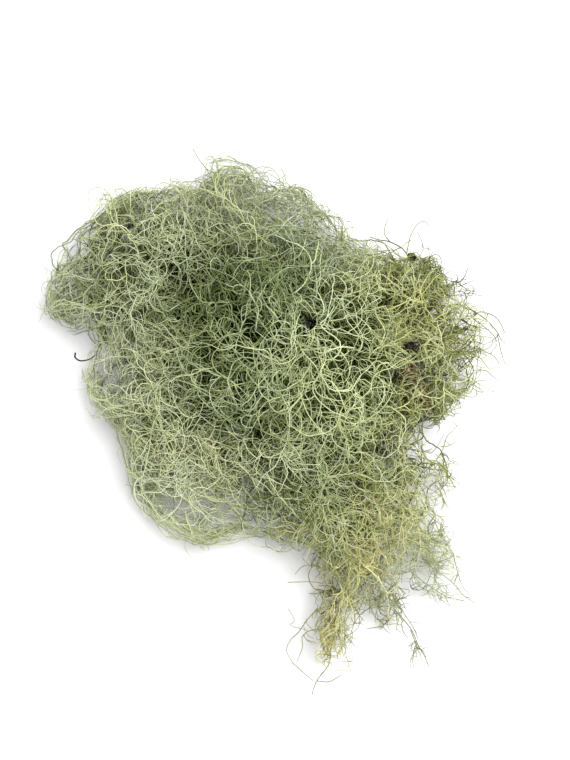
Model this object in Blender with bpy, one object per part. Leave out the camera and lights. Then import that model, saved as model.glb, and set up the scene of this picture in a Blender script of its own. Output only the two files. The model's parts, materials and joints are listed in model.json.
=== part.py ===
"""A loose clump of old man's beard lichen at rest on a level surface.

The clump is a tangle of bushy thalli.  Each thallus is a low domed pad here: a closed solid
that reaches the tips of its filaments.  A short snapped twig and the black holdfasts that
the filaments grow from lie in pockets of the right-hand thallus.
Lengths are in millimetres up to the last step, which writes every vertex in metres.
The clump lies on z = 0, and the middle of its base is the origin.
"""
import math

import bmesh
import bpy
from mathutils import Vector

# Driving dimensions
METRE = 0.001           # one millimetre, in Blender's units
CLEARANCE = 0.3         # gap between neighbouring solids
RIM_HEIGHT = 3.0        # thickness of the clump at its outer edge
RIM_RISE = 6.0          # distance from the edge over which the clump reaches its full height
CREST_BLEND = 4.0       # power that blends neighbouring crests: higher gives deeper valleys
RAYS = 56               # directions in which each thallus is sized around its own middle
RINGS = (0.25, 0.5, 0.75, 0.92, 1.0)  # rings of points between a thallus's middle and edge
CURVE_STEPS = 4         # straight pieces per stretch of the smooth outline

# Outline of the whole clump seen from above, anticlockwise from the tip of the right tuft.
# A smooth closed curve runs through these points.
OUTLINE = (
    (60, 22), (55, 29), (52, 36), (50, 41), (42, 43), (39, 52), (30, 52), (24, 47), (19, 46),
    (16, 54), (9, 60), (2, 65), (-8, 68), (-14, 69), (-21, 70), (-23, 61), (-35, 61), (-44, 55),
    (-52, 49), (-57, 40), (-58, 30), (-51, 23), (-48, 16), (-47, 8), (-42, 0), (-37, -9),
    (-34, -21), (-28, -28), (-16, -32), (-6, -30), (2, -33), (3, -42), (2, -57), (9, -71),
    (17, -66), (22, -50), (31, -55), (36, -63), (41, -63), (34, -48), (40, -46), (53, -47),
    (48, -37), (44, -28), (45, -18), (46, -8), (48, 2), (51, 9), (59, 13),
)

# Each thallus: middle of its crest, radius and height of the crest, and its colour.
THALLI = {
    "thallus_centre": ((5, 14), 25, 36, (0.42, 0.47, 0.22)),
    "thallus_top": ((-3, 50), 21, 23, (0.40, 0.45, 0.25)),
    "thallus_upper_left": ((-37, 41), 22, 22, (0.36, 0.41, 0.20)),
    "thallus_left": ((-30, 4), 20, 20, (0.40, 0.45, 0.24)),
    "thallus_lower_left": ((-15, -17), 18, 16, (0.44, 0.48, 0.26)),
    "thallus_lower_middle": ((11, -16), 16, 21, (0.34, 0.39, 0.19)),
    "thallus_right": ((38, 20), 22, 23, (0.38, 0.37, 0.14)),
    "thallus_lower_right": ((32, -16), 15, 17, (0.46, 0.47, 0.24)),
    "thallus_tail": ((13, -46), 15, 13, (0.43, 0.40, 0.18)),
    "thallus_tail_branch": ((30, -52), 9, 7, (0.40, 0.40, 0.22)),
    "thallus_wisps": ((41, -38), 11, 9, (0.46, 0.50, 0.34)),
}

# The snapped twig: a slim tapered rod with a short broken side shoot.
TWIG_START = Vector((29.5, 25.0, 12.6))
TWIG_END = Vector((40.0, 3.5, 11.4))
TWIG_RADII = (1.6, 2.1, 2.3, 2.2, 1.9, 2.0, 1.7)
TWIG_BOW = 0.7          # how far the middle of the twig stands out of a straight line
TWIG_SIDES = 10
SHOOT_AT = 0.45         # place of the side shoot along the twig
SHOOT_LENGTH = 3.4
SHOOT_RADIUS = 0.9

# Holdfasts: black discs that a thallus grows from. Middle, radius, height.
HOLDFASTS = {
    "holdfast_on_twig": (Vector((33.2, 20.0, 15.4)), 1.5, 1.8),
    "holdfast_loose": (Vector((35.0, 43.0, 6.6)), 1.4, 2.4),
}
HOLDFAST_SIDES = 9

BARK_COLOUR = (0.19, 0.11, 0.07)
HOLDFAST_COLOUR = (0.03, 0.028, 0.022)
LICHEN_ROUGHNESS = 0.85
BARK_ROUGHNESS = 0.9


def remove_old_objects():
    """Empty the scene."""
    for old in list(bpy.data.objects):
        bpy.data.objects.remove(old)


def smooth_closed_curve(points, steps):
    """Points along a Catmull-Rom curve through a closed list of points."""
    curve = []
    count = len(points)
    for index in range(count):
        before, start, end, after = (Vector(points[(index + k) % count]) for k in (-1, 0, 1, 2))
        for step in range(steps):
            t = step / steps
            bend = (2 * before - 5 * start + 4 * end - after) * t * t
            twist = (3 * start - before - 3 * end + after) * t * t * t
            curve.append(0.5 * (2 * start + (end - before) * t + bend + twist))
    return curve


def edge_distance(point, outline):
    """Shortest distance from a point to the closed outline."""
    best = math.inf
    for start, end in zip(outline, outline[1:] + outline[:1]):
        side = end - start
        along = max(0.0, min(1.0, (point - start).dot(side) / side.length_squared))
        best = min(best, (point - start - side * along).length)
    return best


def top_height(point, outline):
    """Height of the clump above a point: crests blended together, falling to a low rim."""
    total = 0.0
    for middle, radius, height, _colour in THALLI.values():
        spread = (point - Vector(middle)).length_squared / (radius * radius)
        total += (height * math.exp(-0.6 * spread)) ** CREST_BLEND
    crest = total ** (1 / CREST_BLEND)
    rise = 1.0 - math.exp(-edge_distance(point, outline) / RIM_RISE)
    return RIM_HEIGHT + max(0.0, crest - RIM_HEIGHT) * rise


def reach_to_outline(middle, direction, outline):
    """Distance from a thallus's middle to where a ray first meets the outline."""
    best = math.inf
    for start, end in zip(outline, outline[1:] + outline[:1]):
        side = end - start
        cross = direction.x * side.y - direction.y * side.x
        if abs(cross) < 1e-9:
            continue
        to_start = start - middle
        along_ray = (to_start.x * side.y - to_start.y * side.x) / cross
        along_side = (to_start.x * direction.y - to_start.y * direction.x) / cross
        if along_ray > 0 and 0 <= along_side <= 1:
            best = min(best, along_ray)
    return best


def reach_to_neighbours(name, direction):
    """Distance along a ray to the nearest line that parts this thallus from another."""
    middle, radius = Vector(THALLI[name][0]), THALLI[name][1]
    best = math.inf
    for other, (other_middle, other_radius, _height, _colour) in THALLI.items():
        if other == name:
            continue
        towards = Vector(other_middle) - middle
        apart = towards.length
        parting = (apart * apart + radius ** 2 - other_radius ** 2) / (2 * apart)
        facing = direction.dot(towards) / apart
        if facing > 1e-6:
            best = min(best, (parting - CLEARANCE / 2) / facing)
    return best


def make_thallus(name, outline):
    """Domed pad of one thallus: rings of points around its middle, and a flat underside."""
    middle = Vector(THALLI[name][0])
    mesh = bmesh.new()
    crown = mesh.verts.new((middle.x, middle.y, top_height(middle, outline)))
    rings = [[] for _ in RINGS]
    foot = []
    for ray in range(RAYS):
        angle = math.tau * ray / RAYS
        direction = Vector((math.cos(angle), math.sin(angle)))
        reach = min(reach_to_outline(middle, direction, outline),
                    reach_to_neighbours(name, direction))
        for ring, share in zip(rings, RINGS):
            place = middle + direction * reach * share
            ring.append(mesh.verts.new((place.x, place.y, top_height(place, outline))))
        foot.append(mesh.verts.new((place.x, place.y, 0.0)))
    for ray in range(RAYS):
        following = (ray + 1) % RAYS
        mesh.faces.new((crown, rings[0][ray], rings[0][following]))
        for inner, outer in zip(rings, rings[1:] + [foot]):
            mesh.faces.new((inner[ray], outer[ray], outer[following], inner[following]))
    mesh.faces.new(list(reversed(foot)))
    return mesh


def ring_of_points(mesh, middle, along, radius, sides, turn=0.0):
    """A ring of vertices around a point, square to a direction."""
    across = along.orthogonal().normalized()
    upright = along.cross(across).normalized()
    ring = []
    for side in range(sides):
        angle = turn + math.tau * side / sides
        offset = across * math.cos(angle) + upright * math.sin(angle)
        ring.append(mesh.verts.new(middle + offset * radius))
    return ring


def join_rings(mesh, rings):
    """Walls between rings that follow each other, and a cap at each end."""
    for lower, upper in zip(rings, rings[1:]):
        count = len(lower)
        for side in range(count):
            following = (side + 1) % count
            mesh.faces.new((lower[side], lower[following], upper[following], upper[side]))
    mesh.faces.new(list(reversed(rings[0])))
    mesh.faces.new(rings[-1])


def make_twig():
    """The twig: rings of changing radius along a slightly bowed line."""
    mesh = bmesh.new()
    along = TWIG_END - TWIG_START
    sideways = along.cross(Vector((0, 0, 1))).normalized()
    rings = []
    last = len(TWIG_RADII) - 1
    for index, radius in enumerate(TWIG_RADII):
        share = index / last
        middle = TWIG_START + along * share + sideways * TWIG_BOW * math.sin(math.pi * share)
        rings.append(ring_of_points(mesh, middle, along.normalized(), radius, TWIG_SIDES))
    join_rings(mesh, rings)
    return mesh


def make_shoot():
    """The broken side shoot, rooted inside the twig so that a union joins them."""
    mesh = bmesh.new()
    along = TWIG_END - TWIG_START
    sideways = along.cross(Vector((0, 0, 1))).normalized()
    direction = (sideways + along.normalized() * 0.8).normalized()
    root = TWIG_START + along * SHOOT_AT + sideways * TWIG_BOW
    rings = []
    for share, radius in ((0.0, 1.3), (0.6, 1.0), (1.0, 0.8)):
        middle = root + direction * (SHOOT_LENGTH * share)
        rings.append(ring_of_points(mesh, middle, direction, SHOOT_RADIUS * radius, 8, 0.2))
    join_rings(mesh, rings)
    return mesh


def make_holdfast(name):
    """A small black knob, wider at its foot than at its top."""
    middle, radius, height = HOLDFASTS[name]
    mesh = bmesh.new()
    rings = []
    for rise, share in ((0.0, 1.0), (0.35, 0.85), (0.75, 0.5), (1.0, 0.3)):
        place = middle + Vector((0, 0, height * (rise - 0.5)))
        rings.append(ring_of_points(mesh, place, Vector((0, 0, 1)), radius * share,
                                    HOLDFAST_SIDES))
    join_rings(mesh, rings)
    return mesh


def plain_material(name, colour, roughness):
    """A Principled material with one colour."""
    material = bpy.data.materials.new(name)
    material.use_nodes = True
    shader = material.node_tree.nodes["Principled BSDF"]
    shader.inputs["Base Color"].default_value = (*colour, 1.0)
    shader.inputs["Roughness"].default_value = roughness
    shader.inputs["Metallic"].default_value = 0.0
    material.diffuse_color = (*colour, 1.0)
    return material


def add_object(name, mesh, colour, roughness):
    """Turn a bmesh into a named object with its own material, facing outwards."""
    bmesh.ops.recalc_face_normals(mesh, faces=mesh.faces)
    data = bpy.data.meshes.new(name)
    mesh.to_mesh(data)
    mesh.free()
    item = bpy.data.objects.new(name, data)
    bpy.context.scene.collection.objects.link(item)
    data.materials.append(plain_material(name, colour, roughness))
    return item


def add_boolean(item, other, operation):
    """Join or cut an object with a hidden helper."""
    modifier = item.modifiers.new(other.name, "BOOLEAN")
    modifier.operation = operation
    modifier.solver = "EXACT"
    modifier.object = other
    other.hide_render = True
    other.display_type = "WIRE"


def make_pocket(name, item, shape_top):
    """A helper box around an object, open upwards past the clump's top."""
    direction = Vector((TWIG_END - TWIG_START).xy).normalized()
    across = Vector((-direction.y, direction.x))
    points = [vertex.co for vertex in item.data.vertices]
    along = [point.xy.dot(direction) for point in points]
    aside = [point.xy.dot(across) for point in points]
    low = min(point.z for point in points) - CLEARANCE
    spans = [(min(values) - CLEARANCE, max(values) + CLEARANCE) for values in (along, aside)]
    mesh = bmesh.new()
    corners = []
    for level in (low, shape_top):
        ring = []
        for u, v in ((0, 0), (1, 0), (1, 1), (0, 1)):
            place = direction * spans[0][u] + across * spans[1][v]
            ring.append(mesh.verts.new((place.x, place.y, level)))
        corners.append(ring)
    join_rings(mesh, corners)
    return add_object(name, mesh, BARK_COLOUR, BARK_ROUGHNESS)


def centre_on_origin(thalli, everything):
    """Bring the middle of the clump's base to the origin, and millimetres to metres."""
    shift = Vector((0.0, 0.0, 0.0))
    for axis in (0, 1):
        values = [vertex.co[axis] for item in thalli for vertex in item.data.vertices]
        shift[axis] = (min(values) + max(values)) / 2
    for item in everything:
        for vertex in item.data.vertices:
            vertex.co = (vertex.co - shift) * METRE


def build():
    """Model the clump."""
    remove_old_objects()
    outline = smooth_closed_curve(OUTLINE, CURVE_STEPS)
    items = []
    for name, (_middle, _radius, _height, colour) in THALLI.items():
        items.append(add_object(name, make_thallus(name, outline), colour, LICHEN_ROUGHNESS))
    right = items[list(THALLI).index("thallus_right")]

    twig = add_object("twig", make_twig(), BARK_COLOUR, BARK_ROUGHNESS)
    shoot = add_object("twig_shoot_helper", make_shoot(), BARK_COLOUR, BARK_ROUGHNESS)
    knobs = [add_object(name, make_holdfast(name), HOLDFAST_COLOUR, BARK_ROUGHNESS)
             for name in HOLDFASTS]

    above_everything = max(height for _m, _r, height, _c in THALLI.values()) + 10.0
    pockets = [make_pocket(f"pocket_{item.name}", item, above_everything)
               for item in (twig, shoot, *knobs)]
    centre_on_origin(items, [*items, twig, shoot, *knobs, *pockets])
    add_boolean(twig, shoot, "UNION")
    for pocket in pockets:
        add_boolean(right, pocket, "DIFFERENCE")


build()
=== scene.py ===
"""Looks of a tangled clump of beard lichen, grown as fine branching filaments.

Each thallus of the frame is replaced by one mesh of closed, tapering tubes.  Filaments are
grown as chains of points that curl at random, keep under the frame's top surface and turn
along the clump's rim, then fork into branches and fine shoots.  The snapped twig and the
black holdfasts are finer, rougher copies of their frame solids; one black strand is added.
Lengths inside the growth code are millimetres; meshes are written in metres.
"""

import json
import math

import bmesh
import bpy
import numpy as np
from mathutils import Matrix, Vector, noise
from mathutils.bvhtree import BVHTree

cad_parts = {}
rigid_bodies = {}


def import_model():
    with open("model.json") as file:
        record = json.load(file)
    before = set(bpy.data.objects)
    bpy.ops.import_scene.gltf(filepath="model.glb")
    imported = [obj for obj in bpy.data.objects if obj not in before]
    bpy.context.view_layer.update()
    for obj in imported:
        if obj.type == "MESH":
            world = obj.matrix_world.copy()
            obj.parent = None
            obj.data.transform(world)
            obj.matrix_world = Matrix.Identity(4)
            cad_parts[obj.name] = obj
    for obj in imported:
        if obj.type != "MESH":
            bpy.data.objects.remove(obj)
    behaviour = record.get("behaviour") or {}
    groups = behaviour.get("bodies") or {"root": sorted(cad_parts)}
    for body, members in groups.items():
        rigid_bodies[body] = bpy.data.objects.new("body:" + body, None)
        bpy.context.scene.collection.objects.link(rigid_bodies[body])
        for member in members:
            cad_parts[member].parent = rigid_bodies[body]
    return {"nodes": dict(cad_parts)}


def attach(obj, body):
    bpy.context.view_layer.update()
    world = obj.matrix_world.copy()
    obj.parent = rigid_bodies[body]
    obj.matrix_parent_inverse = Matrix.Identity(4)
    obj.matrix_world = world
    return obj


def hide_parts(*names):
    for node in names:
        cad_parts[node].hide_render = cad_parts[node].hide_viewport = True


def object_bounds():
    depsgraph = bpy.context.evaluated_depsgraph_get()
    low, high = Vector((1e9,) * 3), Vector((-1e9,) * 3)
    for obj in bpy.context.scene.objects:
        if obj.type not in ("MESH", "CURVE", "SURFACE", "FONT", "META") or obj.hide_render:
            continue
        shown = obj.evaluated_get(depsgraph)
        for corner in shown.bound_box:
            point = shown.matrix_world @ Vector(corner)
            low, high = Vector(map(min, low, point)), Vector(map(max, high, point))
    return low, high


for leftover in list(bpy.data.objects):
    bpy.data.objects.remove(leftover)
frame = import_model()
cad_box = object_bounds()

MM = 0.001  # one millimetre in metres
SEED = 7
GRID = 1.0  # spacing of the maps of the clump
GRID_MARGIN = 16.0  # how far they run past the frame
FAR = 9.0  # clearance on them well away from any gap
FLOOR_GAP = 0.3  # least height of a filament's axis over the floor
OUTSIDE_HEIGHT = 1.5  # height that filaments keep to beyond the clump's edge
CURL_RUN = 6.0  # length over which a filament's bend drifts
RIM_TURN = 0.26  # turn back from the rim in each millimetre
RIM_EASE = 3.0  # distance past a filament's limit over which that turn builds up
HUG_BAND = 7.0  # width of the band where filaments run along the rim
GAP_BERTH = 1.2  # how far from a gap filaments start to turn
GAP_TURN = 0.5  # turn away from it in each millimetre
GAP_FLOOR = 0.45  # share of the clump's height down to which gaps stay open
STEEPEST = 0.7  # steepest climb or fall towards a filament's own layer
DEEP = 3.5  # depth by which a filament has taken on most of its painted shade
TOP_LIGHT = 0.2  # painted light: extra tint on top of the clump
GAP_SHADE = 0.3  # painted shade round a gap
RIM_BAND = 3.0  # width of the dull band inside the rim
PATCH_ON_TOP = 0.45  # share of a dark or pale patch that shows on the topmost filaments
LEAST_BRANCH = 0.115  # least radius of a branch at its root
LEAST_SHOOT = 0.095  # least radius of a shoot at its root
MIXED = 0.17  # how much the tints of main filaments differ
HUE_LIMIT = 0.7  # greyest hue of a filament before its dull tip
TIP_STARTS = 0.75  # share of a filament after which it dulls towards its tip
FEATURE_STEPS = 30  # straight pieces in a listed strand
FEATURE_WIDTH = 0.92  # its thickness beside the one listed
FEATURE_LAYER = 1.04  # the share of the clump's height that its side branches keep to
FEATURE_FORKS = 4  # its side branches, where no fringe is listed
FEATURE_SPROUTS = 0.8  # shoots on each of them
DEEP_FORKS = 5  # branches on a coarse filament deep inside
KNOB_LIFT = 2.5  # how far the holdfasts stand proud of the frame's
FLAKES = 320  # loose flakes of bark on the twig
FLAKES_BEYOND = 10.5  # the place in y past which the bark flakes
BAKE_MAP = "OFBake"  # a map laid out by hue and tint, so that it holds every colour of a piece
NUDGE = 0.005  # width that each face has on it


# ---- The clump seen from above, in millimetres from its middle ----

# Where the tangle ends; loose ends reach a little further.
RIM = (
    (-20, 60), (-20, 63), (-17, 65), (-18, 67.5), (-14, 69), (-10, 67.5), (-6, 65), (-2, 63.5),
    (2, 62), (6, 60.5), (10, 58), (13, 55), (16, 51.5), (17, 48.5), (21, 47), (25, 46), (28, 44),
    (31, 43), (35, 43.5), (38, 42), (41, 40), (44, 36), (46.5, 33.5), (49, 30.5), (50.5, 26),
    (50, 21), (50.5, 16), (50, 10.5), (46, 8), (43, 5.5), (41, 3), (38.5, 0), (37, -3), (38, -6),
    (42, -8), (44.5, -12), (43, -17), (41.5, -21), (42.5, -26), (44, -31), (46.5, -37),
    (47.5, -42), (44, -46), (38, -43.5), (33, -40), (29, -39), (31, -46), (35, -53), (37.5, -60),
    (36, -61), (33, -55.5), (28, -51.5), (25, -46.5), (22, -45), (19.5, -50), (18.5, -55),
    (16, -60), (12.5, -60), (11, -54), (10, -48), (11.5, -42), (10.5, -36), (8, -31),
    (2, -30.5), (-4, -29), (-8, -27.5), (-14, -29), (-20, -30), (-25, -28), (-30.5, -26),
    (-34, -22), (-36.5, -17), (-38, -12), (-39, -6), (-40, -1), (-44, 2), (-47.5, 5),
    (-50, 9), (-50.5, 14), (-48, 20), (-47, 24.5), (-52, 26), (-57, 27.5), (-60.5, 30),
    (-60, 35), (-57.5, 41), (-55, 47), (-52, 51), (-47, 54), (-43.5, 58.5), (-39, 61),
    (-33, 62), (-26, 62.5),
)

# Deep gaps between the filaments: x, y, radius.
GAPS = (
    (7.5, 25.5, 2), (26, 31, 1.6), (27.5, 13, 2), (33.5, 20.5, 1.6),
    (5, 15.5, 1), (-6, 22, 1.2), (36, 2, 1.3), (-9, 4, 1.2),
    (-5, 0, 1.2), (41.5, 13, 1), (-17.5, 27, 1.2), (35, 45.3, 1.8),
)

# Thin patches, where light comes through from below: x, y, radius, share left.
THIN = (
    (-22, -22, 4, 0.05), (-13, -22.5, 4, 0.05), (-29.5, -17.5, 3.5, 0.2),
    (-5, -25, 4, 0.3), (-44, 14, 4.5, 0.1), (-43.5, 23, 4, 0.3),
    (-50.5, 46.5, 4.5, 0.5), (-53, 33.5, 4.5, 0.6), (-36, 58, 3.5, 0.4),
    (-11.5, 63.5, 4, 0.5), (-9, 57, 4, 0.6), (13, 50, 4, 0.5),
    (21, 43, 4, 0.7), (48, 25, 4, 0.45), (48, 15, 4, 0.5),
    (38, -5, 4, 0.1), (38, -13, 3, 0.2), (37, -23, 3.5, 0.4),
    (33.3, 14.8, 2.8, 0.1), (8, -33, 4, 0.3), (41.5, -24, 3, 0.4),
    (33, -36, 4, 0.4), (42, -40, 3, 0.5), (34.8, 44, 1.6, 0.2),
    (22, -48, 3.5, 0.4), (42, -16, 3, 0.5), (7.5, 25.5, 1.8, 0.1),
)

# Darker and paler patches, partly the filaments' own tone and partly painted shade and painted
# light: x, y, radius, change of tint.
SHADES = (
    (-18, 35.5, 13, -0.78), (-18, 22, 9, -0.44), (2, 40, 10, -0.42),
    (-5.5, 25, 6, 0.28), (-8, 1, 8, -0.22),
    (4, -12, 8, -0.08), (10, 14, 13, 0.06), (14, 2, 9, 0.05),
    (-45, 34, 12, 0.10), (-34, 2, 12, 0.10), (-24, -20, 13, 0.40),
    (-3, 58, 16, 0.14), (33, 16.5, 6, -0.25), (25, 29, 6, -0.2),
    (20, -25, 6, -0.12), (-41.5, 57, 4, 0.35), (35, 33, 5.5, -0.55),
)

# Yellower (below nought) and greyer patches: x, y, radius, change of hue.
HUES = (
    (10, 8, 14, -0.06), (0, 36, 14, 0.12), (20, -6, 10, -0.06),
    (-20, 38, 12, 0.03), (38, -38, 9, 0.05), (36, -14, 9, -0.1),
    (20, -30, 10, -0.25), (33, 24, 9, -0.18),
)

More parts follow.
